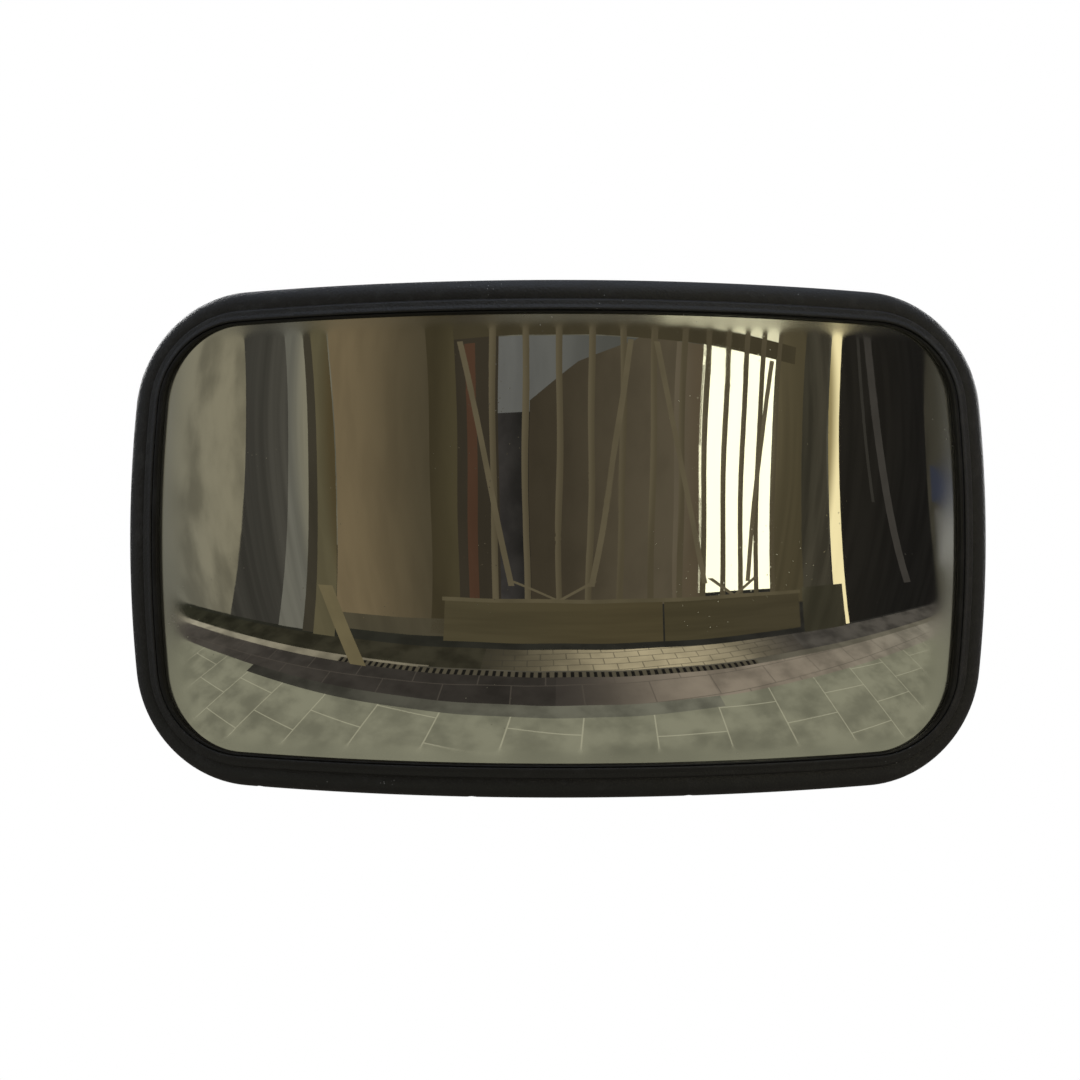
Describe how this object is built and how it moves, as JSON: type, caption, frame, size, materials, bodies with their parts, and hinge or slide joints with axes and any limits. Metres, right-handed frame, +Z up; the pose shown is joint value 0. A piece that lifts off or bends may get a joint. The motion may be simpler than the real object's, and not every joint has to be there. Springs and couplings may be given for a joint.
{
  "type": "convex security mirror",
  "caption": "Oblong domed convex mirror in a black bead rim with a rubber lip, on a wall bracket that pans, tilts and swivels and is locked by clamp knobs.",
  "frame": {"origin": "centre of the wall plate's four screw holes, on the wall plane", "axes": "+Y into the wall, -Y the way the reflector faces, +Z up, +X to the right as one looks at the reflector"},
  "size_m": [0.5, 0.2945, 0.294],
  "materials": {
    "rim_plastic": "black moulding with a fine leather-like grain",
    "gasket_rubber": "smooth black rubber",
    "reflector": "polished acrylic, silvered behind",
    "shell_plastic": "black moulding, finely textured",
    "ring_plastic": "plain moulded",
    "powder_coat": "satin black powder coat on steel",
    "zinc_steel": "bright zinc plated",
    "screw_steel": "stainless, dull",
    "bare_steel": "galvanised sheet",
    "knob_plastic": "satin black phenolic",
    "brass": "turned",
    "nylon": "natural nylon",
    "fibre": "red-brown vulcanised fibre"
  },
  "bodies": {
    "wall_bracket": {"wall_plate": "powder_coat", "wall_ears": "powder_coat", "pan_bolt": "zinc_steel", "pan_washers": "zinc_steel"},
    "pan_clamp": {"pan_knob": "knob_plastic", "pan_knob_insert": "brass"},
    "arm": {"pan_hub": "powder_coat", "pan_bushes": "nylon", "arm_tube": "powder_coat", "tilt_hub": "powder_coat", "tilt_bushes": "nylon"},
    "yoke": {"tilt_yoke": "powder_coat", "tilt_bolt": "zinc_steel", "tilt_washers": "zinc_steel"},
    "tilt_clamp": {"tilt_knob": "knob_plastic", "tilt_knob_insert": "brass"},
    "head": {"friction_washer": "fibre", "swivel_stud": "zinc_steel", "swivel_washer": "zinc_steel", "swivel_nut": "zinc_steel", "head_plate": "powder_coat", "head_bolts": "zinc_steel", "head_washers": "zinc_steel", "head_nuts": "zinc_steel", "stiffener_plate": "bare_steel", "back_shell": "shell_plastic", "rim_screws": "screw_steel", "clamp_ring": "ring_plastic", "mirror_panel": "reflector", "face_gasket": "gasket_rubber", "front_rim": "rim_plastic"}
  },
  "joints": [
    {"name": "pan", "type": "hinge", "parent": "wall_bracket", "child": "arm", "pos_m": [0, -0.034, 0], "axis": [0, 0, 1], "range_deg": [-35, 35]},
    {"name": "pan_clamp_turn", "type": "hinge", "parent": "wall_bracket", "child": "pan_clamp", "pos_m": [0, -0.034, -0.035], "axis": [0, 0, -1], "range_deg": [-270, 0]},
    {"name": "tilt", "type": "hinge", "parent": "arm", "child": "yoke", "pos_m": [0, -0.16, 0], "axis": [1, 0, 0], "range_deg": [-15, 25]},
    {"name": "tilt_clamp_turn", "type": "hinge", "parent": "yoke", "child": "tilt_clamp", "pos_m": [0.033, -0.16, 0], "axis": [1, 0, 0], "range_deg": [-270, 0]},
    {"name": "swivel", "type": "hinge", "parent": "yoke", "child": "head", "pos_m": [0, -0.19, 0], "axis": [0, -1, 0], "range_deg": [-90, 90]}
  ]
}
